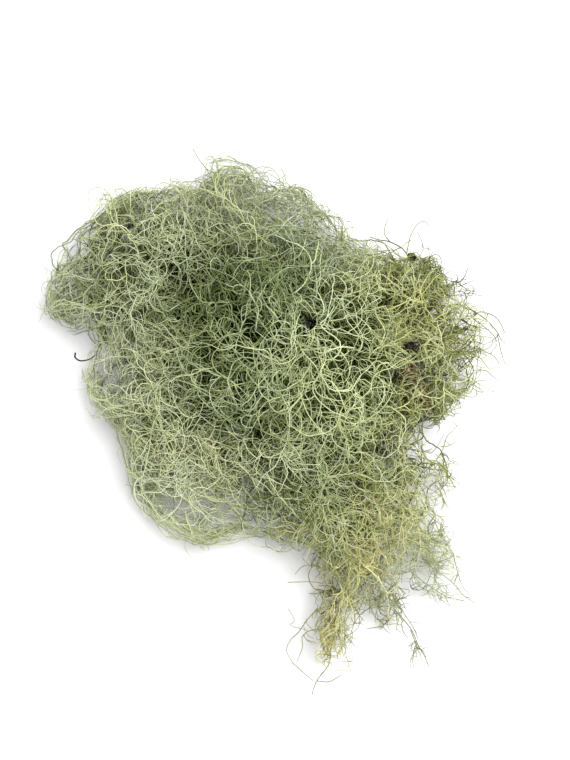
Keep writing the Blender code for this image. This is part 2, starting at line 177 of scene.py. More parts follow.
# Single strands that stand out: radius, height above the clump's top, and the route.
STRANDS = {
    "thallus_centre": (
        (0.29, 1, ((6, 18), (7.5, 16.5), (9, 14.5), (9.5, 12))),
        (0.26, 1, ((10.5, 19.5), (11, 17), (10, 14.5), (9.5, 12))),
        (0.23, 1.2, ((5, 19), (7.5, 19), (10.5, 19.5), (13, 19))),
        (0.23, 1, ((9.5, 12), (5.5, 11), (2.5, 10), (1, 8.5), (0, 6.5))),
        (0.2, 1, ((9, 11), (7, 9.5), (4, 8.5), (2, 7), (1, 5), (0.5, 2.5))),
        (0.22, 1, ((9.5, 11), (11, 8.5), (13, 6.5), (14, 4), (14, 1))),
        (0.2, 1, ((10.5, 12.5), (12.5, 11.5), (14, 9.5), (15, 7), (16, 4), (15.5, 1))),
        (0.2, 1, ((6, 18), (4, 16.5), (2.5, 15), (-1, 14.5), (-3.5, 14))),
        (0.19, 1, ((6, 18), (4.5, 20.5), (2.5, 23), (0.5, 24.5))),
        (0.18, 1.5, ((9, 26.5), (9, 25), (7.5, 23.5), (6, 23))),
        (0.2, 1, ((12, 26), (15, 26.5), (18, 27.5), (20.5, 26),
                 (22, 24), (22.5, 21.5), (21.5, 19.5))),
        (0.2, 1, ((20.5, 14), (21.5, 15), (23, 16.5), (25, 16),
                 (26.5, 14), (27, 11.5), (26, 11), (24, 12))),
        (0.17, 1, ((-14, 34), (-10, 34.5), (-6, 36), (-2, 38.5), (2, 41), (3, 45))),
        (0.17, 1, ((-15, 31), (-12, 31.5), (-10, 30), (-7, 31.5), (-3, 34), (1, 34))),
        (0.17, 1.5, ((-13, 46), (-9, 47.5), (-5, 49), (-2, 48.5), (0, 47))),
        (0.16, 1, ((-16, 39), (-13, 37), (-11, 36), (-9, 38), (-7, 41), (-4, 42))),
        (0.17, 1, ((9, 32), (9.5, 36), (12, 38), (15, 37.5), (16.5, 35), (15, 31.5))),
        (0.17, 1, ((-4, 27), (-7, 29), (-10, 27.5), (-9.5, 24), (-7, 21.5))),
    ),
    "thallus_left": (
        (0.1, 1, ((-56.5, 10), (-52.5, 9.5), (-49, 10), (-45.5, 9))),
        (0.2, 4, ((-48.5, 17.5), (-49.5, 13.5), (-48.5, 9), (-46.5, 5), (-43, 1.5), (-39, -1.5))),
        (0.18, 3, ((-50, 12.5), (-48, 8), (-45, 4.5), (-42, 0.5), (-38, -2), (-37.5, -7))),
        (0.18, 1, ((-20, 4.5), (-22, 0.5), (-24, -1), (-27, -1.5), (-29, -3), (-28, -6))),
        (0.18, 1, ((-19, 3), (-21, 0), (-22.5, -3.5), (-22, -7))),
    ),
    "thallus_lower_left": (
        (0.22, 4, ((-38.5, -5.5), (-37.5, -10.5), (-35, -16), (-31, -22), (-26, -26), (-20.5, -29))),
        (0.15, 2, ((-33, -23.5), (-30, -28.5), (-25.5, -29.5), (-20.5, -29), (-18, -32.5))),
        (0.19, 3, ((-26, -27.5), (-20.5, -29.5), (-14.5, -30.5), (-8.5, -29), (-4.5, -26.5))),
    ),
    "thallus_upper_left": (
        (0.12, 0, ((-59.5, 29.5), (-57, 26.5), (-53, 25.5), (-49, 27))),
        (0.21, 1, ((-50.5, 30.5), (-46.5, 30), (-42.5, 30.5), (-39, 30), (-35, 29))),
        (0.21, 1, ((-55.5, 26.5), (-50.5, 26.5), (-46.5, 25.5),
                  (-44, 26), (-39.5, 26.5), (-35.5, 27.5))),
        (0.15, 2, ((-39, 57.5), (-38.5, 60.5), (-37, 62), (-36, 60.5), (-36.5, 58.5), (-38, 58))),
    ),
    "thallus_top": (
        (0.16, 2, ((-22.5, 72.5), (-20.5, 69), (-18.5, 66), (-17, 63.5), (-14.5, 62))),
        (0.13, 1, ((-18, 68), (-16, 70), (-13, 70.5), (-10.5, 68.5))),
        (0.13, 1, ((-4, 64), (-3, 66.5), (-1.5, 66.5), (-2, 64.5))),
        (0.14, 1, ((0.5, 67.5), (1.5, 65.5), (2, 63), (4, 60.5))),
    ),
    "thallus_right": (
        (0.23, 1.2, ((20, 34), (22, 31), (23.5, 28), (25.5, 25),
                  (25.5, 21), (26, 17.5), (28, 15.5), (27, 12))),
        (0.2, 2, ((33, 43.5), (31.5, 45.5), (28.5, 47.5), (26, 48.5), (23.5, 49.5))),
        (0.14, 2, ((28.5, 47.5), (27.5, 49.5), (27.5, 51.5), (28.5, 54.5))),
        (0.16, 2, ((32.5, 44), (33.2, 47), (34, 49.5), (36, 52.5), (38, 53.5), (39.5, 52))),
        (0.11, 2, ((34, 48), (32.5, 47), (31, 45.5))),
        (0.1, 1, ((36, 50.5), (37, 48), (37.5, 46), (39, 46.5))),
        (0.17, 2, ((43.5, 37), (46, 37), (48, 39), (49.5, 41.5))),
        (0.15, 2, ((45, 35.5), (48.5, 37), (50.5, 38))),
        (0.14, 1, ((47, 35), (49.5, 35), (52, 35))),
        (0.14, 1, ((47, 34), (50, 34.5), (53.5, 34))),
        (0.18, 2, ((49, 28), (51.5, 29.5), (54, 29.5), (56.5, 28.5), (58, 26.5), (59, 24))),
        (0.18, 2, ((48, 30), (51.5, 28.5), (54, 27), (56.5, 24.5), (57.5, 22.5), (59.5, 21.5))),
        (0.15, 1, ((56.5, 24), (57, 20.5), (58, 18), (59.5, 16))),
        (0.14, 1, ((49, 27.5), (52.5, 25.5), (55, 23.5), (56, 21.5), (54.5, 19.5))),
        (0.16, 1, ((49.5, 20), (52.5, 19), (55, 18), (57, 16))),
        (0.12, 2, ((50.5, 27), (50.3, 22), (49.7, 17), (50.3, 12), (50, 8.5))),
        (0.16, 1, ((49, 14.5), (52.5, 14.5), (55.5, 13), (57.5, 12))),
        (0.13, 1, ((45, 9), (48, 9), (50.5, 11.5), (54, 12))),
        (0.13, 1, ((44, 8), (46.5, 6.5), (47.5, 4.5))),
        (0.17, 3, ((33, 4), (36, 6.5), (40, 7.5), (44, 9.5))),
        (0.17, 3, ((42, 2), (39, 5), (37, 8.5), (37, 12))),
        (0.16, 2.5, ((34, 8), (37, 8.5), (40, 6.5), (42, 4))),
        (0.15, 3, ((36, 10.5), (38.5, 8), (39.5, 5), (39, 2))),
        (0.15, 2.5, ((35, 3), (37.5, 5.5), (40.5, 8.5), (42, 11))),
        (0.15, 3, ((33.5, 6), (36.5, 6), (39.5, 7.5), (41.5, 6.5))),
    ),
    "thallus_lower_right": (
        (0.17, 2, ((40, -8.5), (42, -5.5), (43, -2.5), (45, -1), (46.5, 0.5))),
        (0.15, 1, ((42, -5), (44.5, -5), (46.5, -4))),
        (0.15, 1, ((41, -10), (43.5, -10), (46, -9.5))),
        (0.18, 1, ((39, -13.5), (41.5, -16.5), (43, -20), (42, -22))),
        (0.17, 1, ((36, -20), (39.5, -23.5), (42.5, -26), (43.5, -28.5))),
        (0.14, 1, ((38, 1.5), (41, 2), (43.5, 3))),
        (0.15, 1, ((34, -6), (37, -8), (41, -9), (43.5, -12), (44, -16))),
        (0.17, 2, ((11, -23.5), (13.5, -21.5), (16.5, -20.5), (19, -20.5))),
        (0.16, 2, ((28, -14), (32, -16), (35.5, -17), (39, -16.5))),
    ),
    "thallus_tail": (
        (0.14, 1, ((13, -38), (11, -36), (8.5, -35.5), (6, -36), (4, -38.5))),
        (0.16, 1, ((14, -40), (9, -39.5), (5, -40), (2, -41))),
        (0.17, 1, ((12.5, -45), (9, -47), (6.5, -50.5), (5, -53), (3, -55.5), (2, -59), (4, -62.5))),
        (0.15, 1, ((12, -51), (8, -52), (6, -54), (6, -57), (4.5, -61.5))),
        (0.12, 1, ((2.5, -47.5), (4, -50), (3, -51.5), (7, -52))),
        (0.17, 0, ((3.5, -62), (6, -64), (9, -66.5))),
        (0.22, 0, ((17, -38), (15.5, -44), (14.5, -50), (13.5, -56),
                  (13, -61.5), (10, -66), (9, -69), (8.5, -71.5))),
        (0.16, 0, ((10, -66.5), (13.5, -67), (16.5, -65.5))),
        (0.15, 1, ((27, -44), (24, -46.5), (21, -49.5), (19, -53.5), (18.5, -57))),
        (0.18, 1, ((21, -37), (18.5, -43), (17, -49), (17, -55), (15, -60))),
        (0.18, 2, ((26, -22), (24, -28), (20, -34), (16.5, -41), (15, -49))),
        (0.17, 2, ((22, -20), (22.5, -26), (20, -32), (18, -38), (18, -45))),
    ),
    "thallus_tail_branch": (
        (0.24, 1, ((23, -37), (26.5, -42.5), (30.5, -48), (34.5, -53),
                  (36.5, -57.5), (38, -60), (39.5, -63.5))),
        (0.2, 1.5, ((25, -38), (28.5, -44), (32, -48), (35, -52.5), (36.5, -56))),
        (0.17, 0, ((34.5, -53.5), (36, -58), (35, -60.5), (35.5, -64))),
        (0.14, 0, ((30.5, -47.5), (28.5, -51), (26.5, -54))),
        (0.14, 0, ((27, -43), (25.5, -47), (26, -51))),
        (0.13, 1, ((28.5, -45.5), (31, -45), (33, -43))),
    ),
    "thallus_wisps": (
        (0.2, 0, ((36.5, -34.5), (42, -38), (46, -41.5), (48, -44), (52, -47))),
        (0.17, 0, ((42, -29.5), (45.5, -33), (46.5, -37), (48, -42), (51, -45))),
        (0.19, 0, ((31, -34.5), (35.5, -38.5), (40, -42), (44, -44.5), (49, -46))),
        (0.15, 1, ((40, -24), (42, -28), (44, -31), (46.5, -31.5))),
    ),
}

# Side branches on the strands above: how many, and their shortest and longest length.
FRINGES = {
    "thallus_right": (10, (1, 5)),
    "thallus_lower_right": (10, (1, 5)),
    "thallus_tail": (12, (1, 5)),
    "thallus_tail_branch": (18, (1, 4.5)),
    "thallus_wisps": (12, (1, 5)),
}

# The stray black strand that curls out on the left: radius and route.
BLACK_STRAND = (0.22, ((-52.5, 19, 7), (-52.3, 17.8, 8), (-51, 17, 9), (-49.5, 17, 10),
                       (-48, 17.4, 10.5), (-46.5, 18.4, 11)))


# ---- How each thallus grows ----

# mains: main filaments near the top.  fill: coarser ones deep inside.
# length, branch, shoot: shortest and longest of each.  width: radius of a main at its root.
# forks: branches on a main.  sprouts: shoots on a branch.  spread: angle of a fork, radians.
# curl: usual bend, radians a millimetre.  kink: small sharp bends.
# edge: how far inside the rim filaments keep.  hug: how closely they follow the rim.
# stray: how far loose ends pass the rim.  tone, laid: usual tint of a main and
# of a listed strand.  mixed: how much the tints of mains differ.
# shade: painted shade, darkening deep inside.  rim_shade: darkening at the rim.
# flow: the direction that filaments lean to, and how strongly.  aim: a place they head for,
# and how strongly.  beds: where mains start (x, y, radius), if not all over the thallus.
USUAL = dict(fill=0, shoot=(1.5, 5), forks=8, sprouts=1.7, edge=1, hug=0.0, mixed=MIXED)
GROWTH = {
    "thallus_centre": dict(
        USUAL, mains=166, fill=125, length=(20, 50), branch=(6, 21), shoot=(2, 9), width=0.165,
        forks=7, sprouts=1.5, spread=1.0, curl=0.20, kink=0.15, edge=-2, stray=2.0,
        tone=0.57, laid=0.6, shade=1.0, rim_shade=0.0, flow=(0.3, -1.0, 0.02), paint="crown",
        slot="lichen_crown"),
    "thallus_top": dict(
        USUAL, mains=98, fill=110, length=(18, 40), branch=(5, 18), shoot=(2, 7), width=0.135,
        spread=0.75, curl=0.12, kink=0.19, hug=0.4, stray=1.3,
        tone=0.54, mixed=0.08, laid=0.45, shade=0.33, rim_shade=0.25, flow=(0.75, -0.6, 0.04),
        paint="hazy", slot="lichen_grey_green"),
    "thallus_upper_left": dict(
        USUAL, mains=108, fill=120, length=(16, 38), branch=(5, 16), shoot=(2, 7), width=0.16,
        sprouts=1.8, spread=0.9, curl=0.14, kink=0.24, hug=0.6, stray=0.9,
        tone=0.54, laid=0.55, shade=0.66, rim_shade=0.15, flow=(0.2, 1.0, 0.03), paint="grey_green",
        slot="lichen_grey_green"),
    "thallus_left": dict(
        USUAL, mains=92, fill=95, length=(18, 44), branch=(5, 18), shoot=(2, 7), width=0.165,
        spread=0.85, curl=0.17, kink=0.19, hug=0.7, stray=1.0,
        tone=0.62, laid=0.58, shade=0.6, rim_shade=0.12, flow=(0.4, -1.0, 0.03), paint="light",
        slot="lichen_grey_green"),
    "thallus_lower_left": dict(
        USUAL, mains=70, fill=34, length=(24, 54), branch=(6, 20), shoot=(2, 8), width=0.165,
        sprouts=1.6, spread=0.75, curl=0.15, kink=0.17, hug=0.9, stray=1.0,
        tone=0.70, laid=0.62, shade=0.44, rim_shade=0.18, flow=(1.0, -0.15, 0.05), paint="light",
        slot="lichen_grey_green"),
    "thallus_lower_middle": dict(
        USUAL, mains=56, fill=60, length=(18, 42), branch=(6, 20), shoot=(3, 9), width=0.16,
        forks=7, spread=0.85, curl=0.18, kink=0.17, hug=0.3, stray=1.2,
        tone=0.48, laid=0.5, shade=0.5, rim_shade=0.15, flow=(0.3, -1.0, 0.04), paint="shaded",
        slot="lichen_shaded"),
    "thallus_right": dict(
        USUAL, mains=160, fill=100, length=(10, 28), branch=(3, 12), width=0.18,
        spread=1.05, curl=0.11, kink=0.25, stray=2.0,
        tone=0.6, laid=0.38, shade=0.6, rim_shade=0.42, flow=(0.9, 0.4, 0.03), paint="olive",
        slot="lichen_olive"),
    "thallus_lower_right": dict(
        USUAL, mains=58, fill=16, length=(10, 26), branch=(3, 11), width=0.19,
        spread=1.0, curl=0.07, kink=0.25, stray=1.8,
        tone=0.54, laid=0.48, shade=0.55, rim_shade=0.32, flow=(0.5, -1.0, 0.03), paint="straw",
        slot="lichen_crown",
        beds=((29, -4, 8), (35, -12, 8), (26, -18, 8), (38, -20, 6), (41, -12, 4))),
    "thallus_tail": dict(
        USUAL, mains=80, fill=10, length=(10, 28), branch=(3, 9), width=0.17,
        sprouts=1.5, spread=0.85, curl=0.09, kink=0.24, edge=0, stray=2.2,
        tone=0.52, laid=0.38, shade=0.55, rim_shade=0.35, aim=(13, -63, 0.10), paint="ochre",
        slot="lichen_ochre",
        beds=((25, -19, 6), (21, -27, 6), (18, -35, 5), (15, -43, 4), (14, -51, 3))),
    "thallus_tail_branch": dict(
        USUAL, mains=4, length=(8, 18), branch=(2, 6), shoot=(1.5, 3), width=0.17,
        sprouts=1.0, spread=1.1, curl=0.05, kink=0.18, edge=0, stray=1.4,
        tone=0.5, laid=0.42, shade=0.4, rim_shade=0.4, aim=(38, -64, 0.2), paint="pale",
        slot="lichen_ochre",
        beds=((25, -41, 3), (28, -46, 2), (31, -50, 2))),
    "thallus_wisps": dict(
        USUAL, mains=29, length=(8, 20), branch=(3, 9), width=0.15,
        sprouts=1.5, spread=0.95, curl=0.05, kink=0.23, hug=0.1, stray=1.6,
        tone=0.44, laid=0.36, shade=0.3, rim_shade=0.3, aim=(48, -44, 0.08), paint="pale",
        slot="lichen_pale",
        beds=((33, -30, 6), (38, -34, 6), (41, -39, 4), (41, -28, 4))),
}

# Straight pieces in mains, branches and shoots, and thickness beside the plan's width.
FINE = dict(steps=(28, 12, 5), thickness=1.0)
COARSE = dict(steps=(14, 6, 4), thickness=1.3)

# Colours of each kind of thallus: deep inside (under the fullest painted shade), usual, and palest.
PAINTS = {
    "crown": ((0.016, 0.026, 0.001), (0.17, 0.215, 0.073), (0.60, 0.66, 0.39)),
    "grey_green": ((0.036, 0.047, 0.006), (0.275, 0.32, 0.145), (0.58, 0.62, 0.40)),
    "hazy": ((0.080, 0.095, 0.032), (0.30, 0.34, 0.17), (0.51, 0.55, 0.35)),
    "light": ((0.080, 0.098, 0.022), (0.37, 0.415, 0.205), (0.62, 0.66, 0.44)),
    "shaded": ((0.040, 0.050, 0.006), (0.29, 0.33, 0.135), (0.57, 0.61, 0.36)),
    "olive": ((0.050, 0.054, 0.004), (0.29, 0.31, 0.105), (0.60, 0.63, 0.34)),
    "straw": ((0.065, 0.070, 0.008), (0.35, 0.375, 0.14), (0.64, 0.67, 0.38)),
    "ochre": ((0.10, 0.095, 0.016), (0.42, 0.41, 0.16), (0.73, 0.72, 0.42)),
    "pale": ((0.11, 0.135, 0.050), (0.40, 0.44, 0.25), (0.70, 0.74, 0.52)),
}


# ---- The room that the filaments may fill ----

def solid_tree(item):
    """Search tree of a frame solid."""
    mesh = item.data
    points = [item.matrix_world @ vertex.co for vertex in mesh.vertices]
    return BVHTree.FromPolygons(points, [tuple(face.vertices) for face in mesh.polygons])


def neighbours(field, mode="constant"):
    """The nine shifted copies of a map that hold each cell's surroundings."""
    padded = np.pad(field, 1, mode=mode)
    wide, tall = field.shape
    return np.stack([padded[a:a + wide, b:b + tall] for a in range(3) for b in range(3)])


def signed_distance(cells, outline):
    """Distance from places to a closed outline, positive inside it."""
    nearest = np.full(cells.shape[:-1], np.inf)
    inside = np.zeros(cells.shape[:-1], bool)
    corners = np.array(outline, float)
    for start, end in zip(corners, np.roll(corners, -1, axis=0)):
        side = end - start
        share = np.clip((cells - start) @ side / (side @ side), 0, 1)
        away = np.linalg.norm(cells - start - share[..., None] * side, axis=-1)
        nearest = np.minimum(nearest, away)
        crosses = (start[1] > cells[..., 1]) != (end[1] > cells[..., 1])
        height = (cells[..., 1] - start[1]) / np.where(side[1] == 0, 1e-9, side[1])
        inside ^= crosses & (cells[..., 0] < start[0] + height * side[0])
    return np.where(inside, nearest, -nearest)


def patches(places, spots):
    """Sum of soft round patches (x, y, radius, amount) at places."""
    total = np.zeros(places.shape[:-1])
    for x, y, radius, amount in spots:
        away = np.sum((places[..., :2] - (x, y)) ** 2, axis=-1)
        total += amount * np.exp(-away / radius ** 2)
    return total


class Ground:
    """Maps of the clump seen from above: height, depth inside the rim, distance from gaps."""

    def __init__(self, nodes, owners):
        """Look down on the frame solids that bear the owners' names."""
        low, high = (np.array(corner[:2]) / MM for corner in cad_box)
        self.low = low - GRID_MARGIN
        self.size = np.ceil((high - low + 2 * GRID_MARGIN) / GRID).astype(int) + 1
        self.height = np.zeros(self.size)
        self.owner = np.full(self.size, -1)
        down = Vector((0, 0, -1))
        for index, name in enumerate(owners):
            tree = solid_tree(nodes[name])
            for i, j in np.ndindex(*self.size):
                x, y = (self.low + GRID * np.array((i, j))) * MM
                hit = tree.ray_cast(Vector((x, y, 1.0)), down)[0]
                if hit is not None and hit.z / MM > self.height[i, j]:
                    self.height[i, j] = hit.z / MM
                    self.owner[i, j] = index
        self.smooth_height()
        axes = [self.low[axis] + np.arange(self.size[axis]) * GRID for axis in (0, 1)]
        cells = np.stack(np.meshgrid(*axes, indexing="ij"), axis=-1)
        inside = signed_distance(cells, RIM)
        self.inside = neighbours(inside, "edge").mean(axis=0)
        self.inward = np.stack(np.gradient(self.inside, GRID))
        self.clear = np.full(self.size, FAR)
        for x, y, radius in GAPS:
            self.clear = np.minimum(self.clear, np.linalg.norm(cells - (x, y), axis=-1) - radius)
        self.away = np.stack(np.gradient(self.clear, GRID))

    def smooth_height(self):
        """Close the narrow clefts between neighbouring solids and soften the steps."""
        for _ in range(3):
            around = neighbours(self.height)
            filled = (around > 0).sum(axis=0)
            mean = around.sum(axis=0) / np.maximum(filled, 1)
            cleft = (self.height == 0) & (filled >= 6)
            self.height[cleft] = mean[cleft]
        covered = self.height > 0
        for _ in range(3):
            mean = neighbours(self.height, "edge").mean(axis=0)
            self.height = np.where(covered, mean, self.height)
        for _ in range(10):
            mean = neighbours(self.height, "edge").mean(axis=0)
            self.height = np.where(covered, self.height, mean)
        self.height = np.maximum(self.height, OUTSIDE_HEIGHT)

    def read(self, field, places):
        """Bilinear reading of a map at places in millimetres."""
        spot = np.clip((places[..., :2] - self.low) / GRID, 0, self.size - 1.001)
        cell = spot.astype(int)
        share = spot - cell
        i, j = cell[..., 0], cell[..., 1]
        u, v = share[..., 0], share[..., 1]
        near = field[i, j] * (1 - u) + field[i + 1, j] * u
        far = field[i, j + 1] * (1 - u) + field[i + 1, j + 1] * u
        return near * (1 - v) + far * v

    def read_slope(self, slope, places):
        """Reading of a map's slope along x and y."""
        return np.stack([self.read(part, places) for part in slope], axis=-1)

    def depth(self, places):
        """How deep places lie inside the clump, under its top or behind its rim."""
        under = self.read(self.height, places) - places[..., 2]
        behind = np.maximum(self.read(self.inside, places) * 1.4 + 1.5, 0)
        return np.clip(np.minimum(under, behind), 0, None)


# ---- Growing filaments ----

def unit(vectors):
    """The vectors at a length of one."""
    return vectors / np.maximum(np.linalg.norm(vectors, axis=-1, keepdims=True), 1e-9)


def curl_headings(rng, headings, curl, kink, stride, state):
    """Turn headings along curls whose bend drifts, with small kinks on top."""
    keep = np.exp(-stride / CURL_RUN)
    drift = np.sqrt(1 - keep ** 2) * rng.normal(0, 1, len(stride))
    state["bend"] = state["bend"] * keep + drift
    rate = curl * (state["lean"] + 0.9 * state["bend"]) * stride
    kinks = rng.normal(0, 1, headings.shape) * (kink * np.sqrt(stride))[:, None]
    return unit(headings + np.cross(state["axis"], headings) * rate[:, None] + kinks)


def steer(ground, place, heading, stride, layer, room, plan):
    """Turn headings in from the rim, away from the gaps, with the flow and to their layer."""
    height = ground.read(ground.height, place)
    inside = ground.read(ground.inside, place)
    inward = ground.read_slope(ground.inward, place)
    push = np.clip((room - inside) / RIM_EASE, 0, 1.5) * stride * RIM_TURN
    heading[:, :2] += inward * push[:, None]
    outward = np.sum(heading[:, :2] * inward, axis=1)
    near = np.clip(1 - inside / HUG_BAND, 0, 1) * plan["hug"] * np.minimum(stride * 0.3, 1)
    heading[:, :2] -= inward * (outward * near)[:, None]
    shun = np.clip(GAP_BERTH - ground.read(ground.clear, place), 0, 2.5) * stride * GAP_TURN
    shun *= place[:, 2] > GAP_FLOOR * height
    heading[:, :2] += ground.read_slope(ground.away, place) * shun[:, None]
    if "flow" in plan:
        flow = np.array((*plan["flow"][:2], 0.0))
        heading += flow * (np.sign(heading @ flow) * plan["flow"][2] * stride)[:, None]
    if "aim" in plan:
        aim = unit(np.array(plan["aim"][:2]) - place[:, :2])
        heading[:, :2] += aim * (plan["aim"][2] * stride)[:, None]
    wanted = np.clip((layer * height - place[:, 2]) * 0.2, -STEEPEST, STEEPEST)
    heading[:, 2] += (wanted - heading[:, 2]) * np.minimum(stride * 0.16, 1)
    return unit(heading)


def walk(rng, ground, roots, headings, lengths, steps, curl, layer, plan):
    """Grow filaments side by side, each a chain of points.

    layer is the share of the clump's height that each filament keeps to.
    """
    count = len(roots)
    chain = np.empty((count, steps + 1, 3))
    chain[:, 0] = roots
    place, heading = roots.copy(), unit(headings)
    stride = lengths / steps
    axis = np.stack([rng.normal(0, 0.5, count), rng.normal(0, 0.5, count), np.ones(count)], axis=1)
    state = {"axis": unit(axis), "bend": rng.normal(0, 1, count),
             "lean": rng.choice([-1.0, 1.0], count) * rng.uniform(0.2, 1.0, count)}
    room = plan["edge"] + rng.normal(0, 1.8, count)
    for step in range(steps):
        heading = curl_headings(rng, heading, curl, plan["kink"], stride, state)
        heading = steer(ground, place, heading, stride, layer, room, plan)
        place = place + heading * stride[:, None]
        place[:, 2] = np.maximum(place[:, 2], FLOOR_GAP)
        chain[:, step + 1] = place
    return chain


def end_at_rim(rng, ground, chain, stray):
    """Shorten filaments that run out past the rim; tell which are long enough to keep."""
    steps = chain.shape[1] - 1
    limit = -rng.exponential(stray, len(chain))
    beyond = ground.read(ground.inside, chain) < limit[:, None]
    last = np.where(beyond.any(axis=1), beyond.argmax(axis=1) - 1.0, steps)
    along = np.maximum(last, 0)[:, None] * np.linspace(0, 1, steps + 1)
    step = np.minimum(along.astype(int), steps - 1)
    rest = (along - step)[..., None]
    row = np.arange(len(chain))[:, None]
    return chain[row, step] * (1 - rest) + chain[row, step + 1] * rest, last > steps * 0.2


def keep_some(rng, chain):
    """Tell which filaments to keep: fewer of them in the thin patches."""
    thin = [(x, y, radius, 1 - share) for x, y, radius, share in THIN]
    lost = np.clip(patches(chain, thin), 0, 0.95)
    return rng.random(len(chain)) > 0.7 * lost.mean(axis=1) + 0.3 * lost.max(axis=1)


def fork(rng, chain, radii, parents, share, spread):
    """Roots, headings and starting radii of side shoots at places along their parents."""
    steps = chain.shape[1] - 1
    along = share * steps
    step = np.minimum(along.astype(int), steps - 1)
    rest = (along - step)[:, None]
    start, end = chain[parents, step], chain[parents, step + 1]
    heading = unit(end - start)
    aside = rng.normal(0, 1, heading.shape) * (1, 1, 0.5)
    aside = unit(aside - heading * np.sum(aside * heading, axis=1, keepdims=True))
    angle = rng.normal(spread, 0.25, len(parents))[:, None]
    width = radii[parents, step] * (1 - rest[:, 0]) + radii[parents, step + 1] * rest[:, 0]
    return start * (1 - rest) + end * rest, heading * np.cos(angle) + aside * np.sin(angle), width


def taper(steps, start, last=0.5, power=1.6):
    """Radii along filaments that thin towards their tips."""
    t = np.linspace(0, 1, steps + 1)[None, :]
    return start[:, None] * (1 - (1 - last) * t ** power)


def smooth_route(points, pieces):
    """Points evenly set along a smooth curve through the points of a route."""
    points = np.array(points, float)
    ends = np.concatenate([[2 * points[0] - points[1]], points, [2 * points[-1] - points[-2]]])
    curve = []
    for before, start, end, after in zip(ends, ends[1:], ends[2:], ends[3:]):
        for t in np.linspace(0, 1, 8, endpoint=False):
            bend = (2 * before - 5 * start + 4 * end - after) * t ** 2
            twist = (3 * start - before - 3 * end + after) * t ** 3
            curve.append(0.5 * (2 * start + (end - before) * t + bend + twist))
    curve = np.array(curve + [points[-1]])
    run = np.concatenate([[0], np.cumsum(np.linalg.norm(np.diff(curve, axis=0), axis=1))])
    spots = np.linspace(0, run[-1], pieces + 1)
    return np.stack([np.interp(spots, run, line) for line in curve.T], axis=1)


# ---- Turning chains into meshes ----

def add_object(name, data):
    """A new object in the scene."""
    item = bpy.data.objects.new(name, data)
    bpy.context.scene.collection.objects.link(item)
    return item


def frames_along(chain):
    """Two directions square to each filament at each point, carried along without twisting."""
    tangent = np.empty_like(chain)
    tangent[:, 1:-1] = chain[:, 2:] - chain[:, :-2]
    tangent[:, 0] = chain[:, 1] - chain[:, 0]
    tangent[:, -1] = chain[:, -1] - chain[:, -2]
    tangent = unit(tangent)
    across = np.empty_like(chain)
    steep = np.abs(tangent[:, 0, 2:3]) > 0.8
    seed = np.where(steep, [[1.0, 0.0, 0.0]], [[0.0, 0.0, 1.0]])
    across[:, 0] = unit(np.cross(tangent[:, 0], seed))
    for step in range(1, chain.shape[1]):
        t = tangent[:, step]
        carried = across[:, step - 1]
        across[:, step] = unit(carried - t * np.sum(carried * t, axis=1, keepdims=True))
    return across, np.cross(tangent, across)


def tubes(chain, radii, tint, hue, sides=3):
    """Vertices, faces and colour values of closed tubes that end in a point."""
    count, points = chain.shape[:2]
    rings = points - 1
    across, upright = frames_along(chain)
    angle = (np.arange(sides) * math.tau / sides)[None, None, :, None]
    around = across[:, :rings, None] * np.cos(angle) + upright[:, :rings, None] * np.sin(angle)
    walls = chain[:, :rings, None] + around * radii[:, :rings, None, None]
    vertices = np.concatenate([walls.reshape(count, rings * sides, 3), chain[:, -1:]], axis=1)
    quads = [(ring * sides + side, ring * sides + (side + 1) % sides,
              (ring + 1) * sides + (side + 1) % sides, (ring + 1) * sides + side)
             for ring in range(rings - 1) for side in range(sides)]
    last = (rings - 1) * sides
    triangles = [(last + side, last + (side + 1) % sides, rings * sides) for side in range(sides)]
    triangles += [(0, side + 1, side) for side in range(1, sides - 1)]
    base = (np.arange(count) * (rings * sides + 1))[:, None, None]

    def spread_out(values):
        """Values along the filaments, at every vertex of the tubes."""
        on_walls = np.repeat(values[:, :rings], sides, axis=1)
        return np.concatenate([on_walls, values[:, -1:]], axis=1).ravel()

    nudge = [(ring % 2, side / sides) for ring in range(rings) for side in range(sides)]
    nudge = np.array([*nudge, (rings % 2, 0.5)])
    return {"vertices": vertices.reshape(-1, 3), "nudge": np.tile(nudge, (count, 1)),
            "quads": (np.array(quads)[None] + base).reshape(-1, 4),
            "triangles": (np.array(triangles)[None] + base).reshape(-1, 3),
            "tint": spread_out(tint), "hue": spread_out(hue)}


def mesh_from(name, groups):
    """One mesh object out of several groups of tubes."""
    offset = 0
    quads, triangles = [], []
    for group in groups:
        quads.append(group["quads"] + offset)
        triangles.append(group["triangles"] + offset)
        offset += len(group["vertices"])
    quads, triangles = np.concatenate(quads), np.concatenate(triangles)
    corners = np.concatenate([quads.ravel(), triangles.ravel()]).astype(np.int32)
    sizes = np.concatenate([np.full(len(quads), 4), np.full(len(triangles), 3)])
    starts = np.concatenate([[0], np.cumsum(sizes)[:-1]]).astype(np.int32)
    mesh = bpy.data.meshes.new(name)
    vertices = np.concatenate([group["vertices"] for group in groups]) * MM
    mesh.vertices.add(len(vertices))
    mesh.vertices.foreach_set("co", vertices.astype(np.float32).ravel())
    mesh.loops.add(len(corners))
    mesh.loops.foreach_set("vertex_index", corners)
    mesh.polygons.add(len(starts))
    mesh.polygons.foreach_set("loop_start", starts)
    mesh.update(calc_edges=True)
    places = []
    for key in ("hue", "tint"):
        values = np.clip(np.concatenate([group[key] for group in groups]), 0, 1)
        layer = mesh.attributes.new(key, "FLOAT", "POINT")
        layer.data.foreach_set("value", values.astype(np.float32))
        places.append((values - values.min()) / max(np.ptp(values), 0.01))
    nudge = np.concatenate([group["nudge"] for group in groups])
    places = 0.01 + 0.97 * np.stack(places, axis=1) + NUDGE * nudge
    chart = mesh.uv_layers.new(name=BAKE_MAP)
    chart.uv.foreach_set("vector", places[corners].astype(np.float32).ravel())
    mesh.shade_smooth()
    return add_object(name, mesh)


